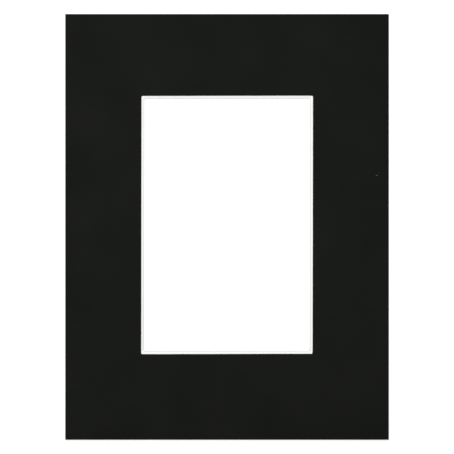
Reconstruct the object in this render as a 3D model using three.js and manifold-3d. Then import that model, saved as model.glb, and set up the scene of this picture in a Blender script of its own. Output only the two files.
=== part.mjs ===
// Picture mount: a sheet of mount board with a bevel-cut portrait window for a 6 x 4 inch print.
// The board is a laminate, a black facing paper on a white core, so the slanted cut shows as a
// white line round the picture. The mount lies on its back: X is its width, +Y points to the top
// edge of the upright picture and +Z out of the black face. The origin is the middle of the back.
// All sizes are in millimetres.

import * as THREE from 'three';
import { mergeVertices } from 'three/addons/utils/BufferGeometryUtils.js';
import Module from 'manifold-3d';

const wasm = await Module();
wasm.setup();

// Outside of the board
const mountWidth = 190;
const mountHeight = 250;

// Layers, from the back to the face
const coreThickness = 1.65;
const facingThickness = 0.15;

// Window: it covers the edge of the print by the same strip on all four sides
const printWidth = 101.6;
const printHeight = 152.4;
const printOverlap = 2.1;

// The border under the window is this much deeper than the one above it
const bottomWeighting = 2.3;

// Slope of the cut, measured from the back of the board
const bevelAngle = 45;

// How far the blade's run out of each corner eats into the corner, along the top or bottom cut
// and along the side cut
const cornerMarks = {
  bottomLeft: { alongEnd: 0.9, alongSide: 0.9 },
  bottomRight: { alongEnd: 0.5, alongSide: 2.9 },
  topRight: { alongEnd: 2.3, alongSide: 0.5 },
  topLeft: { alongEnd: 0.9, alongSide: 0.9 },
};
const cornerSteps = 6;

// The cutting solid passes both faces of the board by this much
const cutterReach = 1;

// Heights of the faces of the layers
const backZ = 0;
const jointZ = backZ + coreThickness;
const faceZ = jointZ + facingThickness;

// Opening at the back of the board, where the print shows
const sightWidth = printWidth - 2 * printOverlap;
const sightHeight = printHeight - 2 * printOverlap;
const sightCentreY = bottomWeighting / 2;
const bevelRunPerHeight = 1 / Math.tan(THREE.MathUtils.degToRad(bevelAngle));

const facingPaper = new THREE.MeshStandardMaterial({ color: 0x1b1d1a, roughness: 0.85, metalness: 0 });
const whiteCore = new THREE.MeshStandardMaterial({ color: 0xefefed, roughness: 0.95, metalness: 0 });

// Outline of the window cut at height z above the back: a rectangle that grows with the bevel.
// Each corner is rounded by the curve between the two ends of its blade mark.
function windowOutline(z) {
  const run = (z - backZ) * bevelRunPerHeight;
  const halfWidth = sightWidth / 2 + run;
  const halfHeight = sightHeight / 2 + run;
  const { bottomLeft, bottomRight, topRight, topLeft } = cornerMarks;
  const corners = [
    { sideX: -1, sideY: -1, mark: bottomLeft, endFirst: false },
    { sideX: 1, sideY: -1, mark: bottomRight, endFirst: true },
    { sideX: 1, sideY: 1, mark: topRight, endFirst: false },
    { sideX: -1, sideY: 1, mark: topLeft, endFirst: true },
  ];
  return corners.flatMap(({ sideX, sideY, mark, endFirst }) => {
    const corner = new THREE.Vector2(sideX * halfWidth, sightCentreY + sideY * halfHeight);
    const onEnd = corner.clone().sub(new THREE.Vector2(sideX * mark.alongEnd, 0));
    const onSide = corner.clone().sub(new THREE.Vector2(0, sideY * mark.alongSide));
    const [start, finish] = endFirst ? [onEnd, onSide] : [onSide, onEnd];
    return new THREE.QuadraticBezierCurve(start, corner, finish).getPoints(cornerSteps);
  });
}

// Closed solid between two outlines with the same number of points, at two heights
function loft(lowerOutline, lowerZ, upperOutline, upperZ) {
  const count = lowerOutline.length;
  const positions = [
    ...lowerOutline.flatMap((point) => [point.x, point.y, lowerZ]),
    ...upperOutline.flatMap((point) => [point.x, point.y, upperZ]),
  ];
  const walls = lowerOutline.flatMap((_, i) => {
    const next = (i + 1) % count;
    return [i, next, count + next, i, count + next, count + i];
  });
  const floor = THREE.ShapeUtils.triangulateShape(lowerOutline, [])
    .flatMap(([a, b, c]) => [c, b, a]);
  const lid = THREE.ShapeUtils.triangulateShape(upperOutline, [])
    .flatMap(([a, b, c]) => [count + a, count + b, count + c]);
  const geometry = new THREE.BufferGeometry();
  geometry.setAttribute('position', new THREE.Float32BufferAttribute(positions, 3));
  geometry.setIndex([...walls, ...floor, ...lid]);
  return geometry;
}

// Solid of everything that the blade takes out, through both layers
function windowCutter() {
  const lowerZ = backZ - cutterReach;
  const upperZ = faceZ + cutterReach;
  return loft(windowOutline(lowerZ), lowerZ, windowOutline(upperZ), upperZ);
}

// Plain sheet of the mount's outside size between two heights
function sheet(lowerZ, upperZ) {
  const outline = new THREE.Shape();
  outline.moveTo(-mountWidth / 2, -mountHeight / 2);
  outline.lineTo(mountWidth / 2, -mountHeight / 2);
  outline.lineTo(mountWidth / 2, mountHeight / 2);
  outline.lineTo(-mountWidth / 2, mountHeight / 2);
  const geometry = new THREE.ExtrudeGeometry(outline, { depth: upperZ - lowerZ, bevelEnabled: false });
  return geometry.translate(0, 0, lowerZ);
}

function toManifold(geometry) {
  const bare = geometry.clone();
  bare.deleteAttribute('normal');
  bare.deleteAttribute('uv');
  const merged = mergeVertices(bare);
  return new wasm.Manifold(new wasm.Mesh({
    numProp: 3,
    vertProperties: new Float32Array(merged.attributes.position.array),
    triVerts: new Uint32Array(merged.index.array),
  }));
}

function toGeometry(manifold) {
  const mesh = manifold.getMesh();
  const geometry = new THREE.BufferGeometry();
  geometry.setAttribute('position', new THREE.BufferAttribute(mesh.vertProperties, 3));
  geometry.setIndex(new THREE.BufferAttribute(mesh.triVerts, 1));
  return geometry;
}

// One layer of the board, with the window cut through it
function layer(name, lowerZ, upperZ, material) {
  const cut = toManifold(sheet(lowerZ, upperZ)).subtract(toManifold(windowCutter()));
  const geometry = toGeometry(cut).toNonIndexed();
  geometry.computeVertexNormals();
  const mesh = new THREE.Mesh(geometry, material);
  mesh.name = name;
  return mesh;
}

const pictureMount = new THREE.Group();
pictureMount.name = 'picture_mount';
pictureMount.add(layer('core_board', backZ, jointZ, whiteCore));
pictureMount.add(layer('face_paper', jointZ, faceZ, facingPaper));

export default pictureMount;
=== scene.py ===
"""Picture mount: black mount board with a white core and a bevel-cut portrait window, lying on its back.

The two layers of the board are rebuilt as fine meshes inside their solids: the cut edges have the
plies of the core, the lip of the blade and the small marks that it leaves in the window's corners.
Metres, +Z up. X is the mount's width and +Y points to the top edge of the upright picture.
"""

import math

import bpy
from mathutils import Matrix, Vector, noise


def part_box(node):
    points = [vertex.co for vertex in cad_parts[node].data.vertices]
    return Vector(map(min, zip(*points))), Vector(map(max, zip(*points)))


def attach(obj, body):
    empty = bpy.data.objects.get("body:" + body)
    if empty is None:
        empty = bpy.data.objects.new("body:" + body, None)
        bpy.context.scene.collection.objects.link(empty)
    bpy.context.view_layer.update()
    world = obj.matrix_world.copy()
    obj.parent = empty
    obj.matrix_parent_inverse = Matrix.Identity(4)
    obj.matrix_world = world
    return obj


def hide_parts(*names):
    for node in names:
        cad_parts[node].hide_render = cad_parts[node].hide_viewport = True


MM = 0.001

# Points of the solids closer than this are at the same place
SAME_PLACE = 0.001 * MM

# The photograph's frame and where the mount lies in it
FRAME_PIXELS = 454
MOUNT_LEFT_PX = 65.2
MOUNT_RIGHT_PX = 388.8
MOUNT_CENTRE_PX = (227.0, 226.88)

# Camera straight above the mount
CAMERA_DISTANCE = 600 * MM
SENSOR_WIDTH = 36.0

# Corners of the two outlines, in the order in which the stations run round them
CORNERS = ("bottom_left", "bottom_right", "top_right", "top_left")
CORNER_SIDES = {
    "bottom_left": (-1, -1),
    "bottom_right": (1, -1),
    "top_right": (1, 1),
    "top_left": (-1, 1),
}

# Stations along the outlines
CORNER_STATIONS = 12
SIDE_STATIONS = 260

# How far the blade's run out of each window corner eats into it, along the top or bottom cut and
# along the side cut
BLADE_MARKS = {
    "bottom_left": (0.9 * MM, 0.9 * MM),
    "bottom_right": (0.5 * MM, 2.9 * MM),
    "top_right": (2.3 * MM, 0.5 * MM),
    "top_left": (0.9 * MM, 0.9 * MM),
}

# The window was cut by hand, so its corners lie a little off the square: right and up from it
CORNER_DRIFT = {
    "bottom_left": (-0.04 * MM, -0.12 * MM),
    "bottom_right": (-0.09 * MM, 0.12 * MM),
    "top_right": (0.13 * MM, 0.14 * MM),
    "top_left": (0.17 * MM, -0.04 * MM),
}

# Burr on the left cut, low down, where the facing paper tore
BURR_PLACE = Vector((-50.3 * MM, -62.3 * MM))
BURR_LENGTH = 0.9 * MM
BURR_DEPTH = 0.1 * MM

# The blade's small wandering along the cut, and what sets its up and down apart from its left and right
WANDER = 0.03 * MM
WANDER_LENGTH = 14 * MM
WANDER_OFFSET = Vector((7.3, 2.1, 5.0))

# The outer corners are sharp, but blunted by handling
OUTER_CORNER_BLUNTING = 0.25 * MM

# Cut edges: the rounded lip of the facing paper, and from the back up the grooves between the plies
LIP_RADIUS = 0.045 * MM
LIP_STEPS = 3
BACKING_PLY_THICKNESS = 0.4 * MM
# The backing ply's grey, partly painted shadow at the foot of the bevel, fades into the white core within
# this height either side of the ply's top
BACKING_BLEND = 0.08 * MM
PLY_HEIGHTS = (BACKING_PLY_THICKNESS, 0.85 * MM, 1.25 * MM)
PLY_GROOVE_DEPTHS = (0.06 * MM, 0.03 * MM, 0.03 * MM)
PLY_GROOVE_HALF_WIDTH = 0.06 * MM

# Edges of the meshes that turn by more than this stay sharp
SHARP_ANGLE = math.radians(35)

# Pale fleck and scuff on the black face
FLECK_PLACE = Vector((87.95 * MM, 30.2 * MM, 0))
FLECK_SIZE = Vector((1.4 * MM, 0.4 * MM, 1))
SCUFF_PLACE = Vector((89.0 * MM, 31.6 * MM, 0))
SCUFF_SIZE = Vector((0.9 * MM, 0.3 * MM, 1))

# Colours, linear
BLACK_PAPER = (0.0070, 0.0079, 0.0063)
BLACK_PAPER_WORN = (0.0100, 0.0109, 0.0092)
FLECK_COLOUR = (0.10, 0.10, 0.088)
WHITE_CORE = (0.95, 0.95, 0.935)
WHITE_CORE_PLY = (0.89, 0.89, 0.875)
# Grey backing ply at the back of the core: partly the backing paper's own grey, partly painted shadow that
# darkens the foot of the bevel where the board meets the table
BACKING_PLY_WITH_PAINTED_SHADOW = (0.68, 0.68, 0.668)
FLOOR_COLOUR = (0.95, 0.95, 0.95)

# Black paper: slow clouds and a fine tooth, each with the noise values that it fades in between
CLOUDS_PER_METRE = 28
CLOUD_FADE = (0.35, 0.7)
CLOUD_FADE_OF_FINISH = (0.3, 0.7)
TOOTH_PER_METRE = 2600
TOOTH_FADE = (0.62, 0.8)
TOOTH_TINT = 0.35
TOOTH_DEPTH = 0.03 * MM
TOOTH_STRENGTH = 0.5

# Cut core: fibres drawn out along the cut, a fine grain, and lines between the plies
FIBRES_PER_METRE = 1500
FIBRE_STRETCH = (1.0, 1.0, 4.0)
FIBRE_FADE = (0.45, 0.75)
FIBRE_TINT = 0.5
FIBRE_DEPTH = 0.06 * MM
FIBRE_STRENGTH = 0.6
GRAINS_PER_METRE = 7000
PLY_LINE_TINT = 0.35

# Ragged edge of the fleck and the scuff
RAGGED_PER_METRE = 4000
RAGGED_NOISE = (0.2, 0.8)
RAGGED_SHIFT = 0.5
SPOT_FADE = (0.75, 1.05)

# Finish of the two papers
BLACK_ROUGHNESS = (0.78, 0.9)
BLACK_SHEEN = 0.04
WHITE_ROUGHNESS = 0.95
WHITE_SHEEN = 0.1
SCUFF_SHARE = 0.3

# The board rests on the high spots of the table, so a little air is under it
TABLE_GAP = 0.05 * MM
TABLE_SIZE = 6

# Light: an even pale room and one soft lamp above the upper left part of the mount
ROOM_LIGHT = 0.46
LAMP_PLACE = Vector((-60 * MM, 95 * MM, 480 * MM))
LAMP_SIZE = 150 * MM
LAMP_POWER = 1.5
FLOOR_GLOW = 0.25


def rectangle(node, z):
    """(centre, half size) of the window in a CAD node at the height z, from the node's vertices."""
    solid = bpy.data.objects[node]
    low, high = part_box(node)
    places = [solid.matrix_world @ vertex.co for vertex in solid.data.vertices]
    level = [p for p in places if abs(p.z - z) < SAME_PLACE]
    round_window = [p for p in level if low.x + SAME_PLACE < p.x < high.x - SAME_PLACE]
    lowest = Vector((min(p.x for p in round_window), min(p.y for p in round_window)))
    highest = Vector((max(p.x for p in round_window), max(p.y for p in round_window)))
    return (lowest + highest) / 2, (highest - lowest) / 2


def corner_block(corner, sides, along_end, along_side, end_first):
    """Points round one corner, on the curve between the two ends of its rounding."""
    on_end = corner - Vector((sides[0] * along_end, 0))
    on_side = corner - Vector((0, sides[1] * along_side))
    start, finish = (on_end, on_side) if end_first else (on_side, on_end)
    points = []
    for step in range(CORNER_STATIONS + 1):
        t = step / CORNER_STATIONS
        points.append(start * (1 - t) ** 2 + corner * (2 * t * (1 - t)) + finish * t ** 2)
    return points


def outline(centre, half_size, marks, drift=None):
    """Stations round a rectangle with its corners rounded by the marks."""
    blocks = []
    for place, name in enumerate(CORNERS):
        sides = CORNER_SIDES[name]
        corner = centre + Vector((sides[0] * half_size.x, sides[1] * half_size.y))
        if drift:
            corner += Vector(drift[name])
        blocks.append(corner_block(corner, sides, *marks[name], end_first=place % 2 == 1))
    points = []
    for place, block in enumerate(blocks):
        points += block
        start, finish = block[-1], blocks[(place + 1) % len(blocks)][0]
        points += [start.lerp(finish, step / SIDE_STATIONS) for step in range(1, SIDE_STATIONS)]
    return points


def wander(point):
    """Small smooth shift of the blade at a point of the cut."""
    place = Vector((point.x, point.y, 0)) / WANDER_LENGTH
    shift = Vector((noise.noise(place), noise.noise(place + WANDER_OFFSET))) * WANDER
    from_burr = (point - BURR_PLACE).length / BURR_LENGTH
    if from_burr < 1:
        shift.x += BURR_DEPTH * (1 - from_burr ** 2) ** 2
    return shift


def window_outline(centre, half_size):
    """Stations round the window as the blade cut it."""
    return [p + wander(p) for p in outline(centre, half_size, BLADE_MARKS, CORNER_DRIFT)]


def outer_outline(box_low, box_high, inset):
    """Stations round the outside of the board."""
    centre = Vector(((box_low.x + box_high.x) / 2, (box_low.y + box_high.y) / 2))
    half_size = Vector(((box_high.x - box_low.x) / 2 - inset, (box_high.y - box_low.y) / 2 - inset))
    marks = {name: (OUTER_CORNER_BLUNTING, OUTER_CORNER_BLUNTING) for name in CORNERS}
    return outline(centre, half_size, marks)


def ring_mesh(name, loops):
    """Closed ring from loops of stations, each a list of points, joined in order and back to the first."""
    stations = len(loops[0])
    vertices = [point for loop in loops for point in loop]
    faces = []
    for row in range(len(loops)):
        after = (row + 1) % len(loops)
        for station in range(stations):
            beside = (station + 1) % stations
            faces.append((row * stations + station, after * stations + station,
                          after * stations + beside, row * stations + beside))
    mesh = bpy.data.meshes.new(name)
    mesh.from_pydata(vertices, [], faces)
    mesh.validate()
    mesh.shade_smooth()
    mesh.set_sharp_from_angle(angle=SHARP_ANGLE)
    piece = bpy.data.objects.new(name, mesh)
    bpy.context.scene.collection.objects.link(piece)
    return piece


def at_height(points, z):
    """Points of the plan, lifted to the height z."""
    return [Vector((p.x, p.y, z)) for p in points]


class Window:
    """The bevel-cut window of one layer: its outline at any height of the layer."""

    def __init__(self, node):
        low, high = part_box(node)
        self.low_z, self.high_z = low.z, high.z
        self.centre, self.low_size = rectangle(node, low.z)
        _, self.high_size = rectangle(node, high.z)

    def outline(self, z, inset=0.0):
        """The cut at the height z, moved out from the window by the inset."""
        share = (z - self.low_z) / (self.high_z - self.low_z)
        half_size = self.low_size.lerp(self.high_size, share) + Vector((inset, inset))
        return at_height(window_outline(self.centre, half_size), z)


def ply_profile(low_z, high_z):
    """(height, groove depth) up a cut edge of the core."""
    profile = [(low_z, 0.0)]
    for height, depth in zip(PLY_HEIGHTS, PLY_GROOVE_DEPTHS):
        middle = low_z + height
        profile.append((middle - PLY_GROOVE_HALF_WIDTH, 0.0))
        profile.append((middle, depth))
        profile.append((middle + PLY_GROOVE_HALF_WIDTH, 0.0))
    profile.append((high_z, 0.0))
    return profile


def lip(z):
    """(height, inset) round the lip at the edge of a face at height z, from the cut to the face."""
    turns = [math.radians(90) * step / LIP_STEPS for step in range(LIP_STEPS + 1)]
    return [(z - LIP_RADIUS * (1 - math.sin(turn)), LIP_RADIUS * (1 - math.cos(turn))) for turn in turns]


def build_core(material):
    """White core: slanted cut round the window, upright cut outside, plies showing in both."""
    low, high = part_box("core_board")
    window = Window("core_board")
    profile = ply_profile(low.z, high.z)
    loops = [window.outline(z, depth) for z, depth in profile]
    loops += [at_height(outer_outline(low, high, depth), z) for z, depth in reversed(profile)]
    piece = ring_mesh("white_core", loops)
    piece.data.materials.append(material)
    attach(piece, "root")
    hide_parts("core_board")
    return piece


def build_facing(material):
    """Black facing paper: the cut through it, the blunted lips and the flat face."""
    low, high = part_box("face_paper")
    window = Window("face_paper")
    rounded = lip(high.z)
    loops = [window.outline(low.z)]
    loops += [window.outline(z, inset) for z, inset in rounded]
    loops += [at_height(outer_outline(low, high, inset), z) for z, inset in reversed(rounded)]
    loops += [at_height(outer_outline(low, high, 0.0), low.z)]
    piece = ring_mesh("facing_paper", loops)
    piece.data.materials.append(material)
    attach(piece, "root")
    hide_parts("face_paper")
    return piece


class Nodes:
    """Short calls for the nodes of one material."""

    def __init__(self, name):
        self.material = bpy.data.materials.new(name)
        self.material.use_nodes = True
        self.tree = self.material.node_tree
        self.shader = self.tree.nodes["Principled BSDF"]
        self.place = self.tree.nodes.new("ShaderNodeTexCoord").outputs["Object"]

    def new(self, kind, **settings):
        node = self.tree.nodes.new(kind)
        for key, value in settings.items():
            setattr(node, key, value)
        return node

    def link(self, output, socket):
        self.tree.links.new(output, socket)

    def noise(self, scale, detail=3.0, roughness=0.5, stretch=None):
        texture = self.new("ShaderNodeTexNoise")
        texture.inputs["Scale"].default_value = scale
        texture.inputs["Detail"].default_value = detail
        texture.inputs["Roughness"].default_value = roughness
        place = self.place
        if stretch:
            mapping = self.new("ShaderNodeMapping")
            mapping.inputs["Scale"].default_value = stretch
            self.link(place, mapping.inputs["Vector"])
            place = mapping.outputs["Vector"]
        self.link(place, texture.inputs["Vector"])
        return texture.outputs["Fac"]

    def map_range(self, value, from_low, from_high, to_low=0.0, to_high=1.0):
        node = self.new("ShaderNodeMapRange", clamp=True)
        node.inputs["From Min"].default_value = from_low
        node.inputs["From Max"].default_value = from_high
        node.inputs["To Min"].default_value = to_low
        node.inputs["To Max"].default_value = to_high
        self.link(value, node.inputs["Value"])
        return node.outputs["Result"]

    def mix(self, factor, first, second):
        """Colour between two colours, each a tuple or another node's output."""
        node = self.new("ShaderNodeMix", data_type="RGBA")
        self.link(factor, node.inputs["Factor"])
        colour_inputs = [socket for socket in node.inputs if socket.type == "RGBA"]
        for socket, value in zip(colour_inputs, (first, second)):
            if isinstance(value, tuple):
                socket.default_value = (*value, 1.0)
            else:
                self.link(value, socket)
        return next(socket for socket in node.outputs if socket.type == "RGBA")

    def math(self, operation, first, second):
        node = self.new("ShaderNodeMath", operation=operation)
        for socket, value in zip(node.inputs, (first, second)):
            if isinstance(value, (int, float)):
                socket.default_value = value
            else:
                self.link(value, socket)
        return node.outputs["Value"]

    def spot(self, place, size):
        """1 inside a ragged spot at a place of the face, 0 outside it."""
        mapping = self.new("ShaderNodeMapping", vector_type="TEXTURE")
        mapping.inputs["Location"].default_value = place
        mapping.inputs["Scale"].default_value = size / 2
        self.link(self.place, mapping.inputs["Vector"])
        flat = self.new("ShaderNodeVectorMath", operation="MULTIPLY")
        flat.inputs[1].default_value = (1, 1, 0)
        self.link(mapping.outputs["Vector"], flat.inputs[0])
        distance = self.new("ShaderNodeVectorMath", operation="LENGTH")
        self.link(flat.outputs["Vector"], distance.inputs[0])
        uneven = self.noise(RAGGED_PER_METRE)
        shift = self.map_range(uneven, *RAGGED_NOISE, -RAGGED_SHIFT, RAGGED_SHIFT)
        ragged = self.math("ADD", distance.outputs["Value"], shift)
        return self.map_range(ragged, *SPOT_FADE, 1.0, 0.0)

    def bump(self, height, strength, distance):
        node = self.new("ShaderNodeBump")
        node.inputs["Strength"].default_value = strength
        node.inputs["Distance"].default_value = distance
        self.link(height, node.inputs["Height"])
        self.link(node.outputs["Normal"], self.shader.inputs["Normal"])


def black_paper():
    """Smooth matt black paper: slow clouds, a fine tooth, a fleck and a scuff near the right edge."""
    nodes = Nodes("black_paper")
    shader = nodes.shader
    clouds = nodes.noise(CLOUDS_PER_METRE, detail=4)
    tooth = nodes.noise(TOOTH_PER_METRE, detail=3, roughness=0.6)
    tone = nodes.mix(nodes.map_range(clouds, *CLOUD_FADE), BLACK_PAPER, BLACK_PAPER_WORN)
    tone = nodes.mix(nodes.map_range(tooth, *TOOTH_FADE, 0.0, TOOTH_TINT), tone, BLACK_PAPER_WORN)
    fleck = nodes.spot(FLECK_PLACE, FLECK_SIZE)
    scuff = nodes.math("MULTIPLY", nodes.spot(SCUFF_PLACE, SCUFF_SIZE), SCUFF_SHARE)
    tone = nodes.mix(nodes.math("MAXIMUM", fleck, scuff), tone, FLECK_COLOUR)
    nodes.link(tone, shader.inputs["Base Color"])
    roughness = nodes.map_range(clouds, *CLOUD_FADE_OF_FINISH, *BLACK_ROUGHNESS)
    nodes.link(roughness, shader.inputs["Roughness"])
    shader.inputs["Specular IOR Level"].default_value = BLACK_SHEEN
    nodes.bump(tooth, TOOTH_STRENGTH, TOOTH_DEPTH)
    return nodes.material


def white_board():
    """White pulp core: torn fibres along the cut, a faint line at each ply, and a grey backing ply whose
    tone is partly painted shadow at the foot of the bevel.
    """
    nodes = Nodes("white_board")
    shader = nodes.shader
    fibres = nodes.noise(FIBRES_PER_METRE, detail=5, roughness=0.7, stretch=FIBRE_STRETCH)
    grain = nodes.noise(GRAINS_PER_METRE, detail=3, roughness=0.6)
    split = nodes.new("ShaderNodeSeparateXYZ")
    nodes.link(nodes.place, split.inputs["Vector"])
    lines = None
    for height, depth in zip(PLY_HEIGHTS, PLY_GROOVE_DEPTHS):
        away = nodes.math("SUBTRACT", split.outputs["Z"], BACK_Z + height)
        distance = nodes.math("ABSOLUTE", away, 0.0)
        line = nodes.map_range(distance, 0.0, PLY_GROOVE_HALF_WIDTH, depth / max(PLY_GROOVE_DEPTHS), 0.0)
        lines = line if lines is None else nodes.math("MAXIMUM", lines, line)
    # Darker backing ply at the foot of the cut: partly the paper's own grey, partly painted shadow where
    # the board meets the table
    backing_top = BACK_Z + BACKING_PLY_THICKNESS
    blend_start = backing_top - BACKING_BLEND
    above_painted_foot_shadow = nodes.map_range(split.outputs["Z"], blend_start, backing_top + BACKING_BLEND)
    tone = nodes.mix(above_painted_foot_shadow, BACKING_PLY_WITH_PAINTED_SHADOW, WHITE_CORE)
    tone = nodes.mix(nodes.math("MULTIPLY", lines, PLY_LINE_TINT), tone, BACKING_PLY_WITH_PAINTED_SHADOW)
    tone = nodes.mix(nodes.map_range(fibres, *FIBRE_FADE, 0.0, FIBRE_TINT), tone, WHITE_CORE_PLY)
    nodes.link(tone, shader.inputs["Base Color"])
    shader.inputs["Roughness"].default_value = WHITE_ROUGHNESS
    shader.inputs["Specular IOR Level"].default_value = WHITE_SHEEN
    nodes.bump(nodes.math("ADD", fibres, grain), FIBRE_STRENGTH, FIBRE_DEPTH)
    return nodes.material


def seen_light(tree, unseen, seen, socket):
    """Strength of a background: one value where it is seen, straight or in a mirror or through glass,
    and another where it only lights."""
    path = tree.nodes.new("ShaderNodeLightPath")
    total = path.outputs["Is Camera Ray"]
    for ray in ("Is Glossy Ray", "Is Transmission Ray"):
        add = tree.nodes.new("ShaderNodeMath")
        add.operation = "ADD"
        add.use_clamp = True
        tree.links.new(total, add.inputs[0])
        tree.links.new(path.outputs[ray], add.inputs[1])
        total = add.outputs["Value"]
    strength = tree.nodes.new("ShaderNodeMapRange")
    strength.inputs["To Min"].default_value = unseen
    strength.inputs["To Max"].default_value = seen
    tree.links.new(total, strength.inputs["Value"])
    tree.links.new(strength.outputs["Result"], socket)


def floor_material():
    """White table. Seen straight, it glows a little, so that it reads as the photograph's white."""
    nodes = Nodes("floor_white")
    shader = nodes.shader
    shader.inputs["Base Color"].default_value = (*FLOOR_COLOUR, 1.0)
    shader.inputs["Roughness"].default_value = 1.0
    shader.inputs["Specular IOR Level"].default_value = 0.0
    shader.inputs["Emission Color"].default_value = (1.0, 1.0, 1.0, 1.0)
    seen_light(nodes.tree, 0.0, FLOOR_GLOW, shader.inputs["Emission Strength"])
    return nodes.material


def build_floor():
    """The table that the mount lies on."""
    bpy.ops.mesh.primitive_plane_add(size=TABLE_SIZE, location=(0, 0, BACK_Z - TABLE_GAP))
    floor = bpy.context.object
    floor.name = "floor"
    floor.data.materials.append(floor_material())


def build_room():
    """Even white room light. Straight and in a mirror, the room is plain white."""
    world = bpy.data.worlds.new("room")
    bpy.context.scene.world = world
    world.use_nodes = True
    tree = world.node_tree
    background = tree.nodes["Background"]
    background.inputs["Color"].default_value = (1.0, 1.0, 1.0, 1.0)
    seen_light(tree, ROOM_LIGHT, 1.0, background.inputs["Strength"])


def build_lamp():
    """Soft round lamp above the upper left part of the mount, aimed at its middle."""
    light = bpy.data.lights.new("lamp", "AREA")
    light.shape = "DISK"
    light.size = LAMP_SIZE
    light.energy = LAMP_POWER
    lamp = bpy.data.objects.new("lamp", light)
    bpy.context.scene.collection.objects.link(lamp)
    lamp.location = LAMP_PLACE
    lamp.rotation_euler = LAMP_PLACE.to_track_quat("Z", "Y").to_euler()


def build_camera():
    """Camera straight above, at the scale and place that the mount has in the photograph."""
    metres_per_pixel = (core_high.x - core_low.x) / (MOUNT_RIGHT_PX - MOUNT_LEFT_PX)
    frame_width = metres_per_pixel * FRAME_PIXELS
    middle = FRAME_PIXELS / 2
    data = bpy.data.cameras.new("camera")
    data.sensor_width = SENSOR_WIDTH
    data.lens = SENSOR_WIDTH * CAMERA_DISTANCE / frame_width
    camera = bpy.data.objects.new("camera", data)
    bpy.context.scene.collection.objects.link(camera)
    right = (middle - MOUNT_CENTRE_PX[0]) * metres_per_pixel
    up = (MOUNT_CENTRE_PX[1] - middle) * metres_per_pixel
    camera.location = (right, up, FACE_Z + CAMERA_DISTANCE)
    camera.rotation_euler = (0, 0, 0)
    bpy.context.scene.camera = camera


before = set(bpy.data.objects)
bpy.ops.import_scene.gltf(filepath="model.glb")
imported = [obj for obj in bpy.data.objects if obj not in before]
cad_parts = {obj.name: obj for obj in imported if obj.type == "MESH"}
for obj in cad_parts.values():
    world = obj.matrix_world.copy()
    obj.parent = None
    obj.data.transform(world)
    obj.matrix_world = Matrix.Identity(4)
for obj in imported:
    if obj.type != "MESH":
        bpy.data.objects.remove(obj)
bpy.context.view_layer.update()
core_low, core_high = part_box("core_board")
BACK_Z = core_low.z
FACE_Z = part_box("face_paper")[1].z

build_core(white_board())
build_facing(black_paper())
build_floor()
build_room()
build_lamp()
build_camera()
bpy.context.scene.view_settings.view_transform = "Standard"
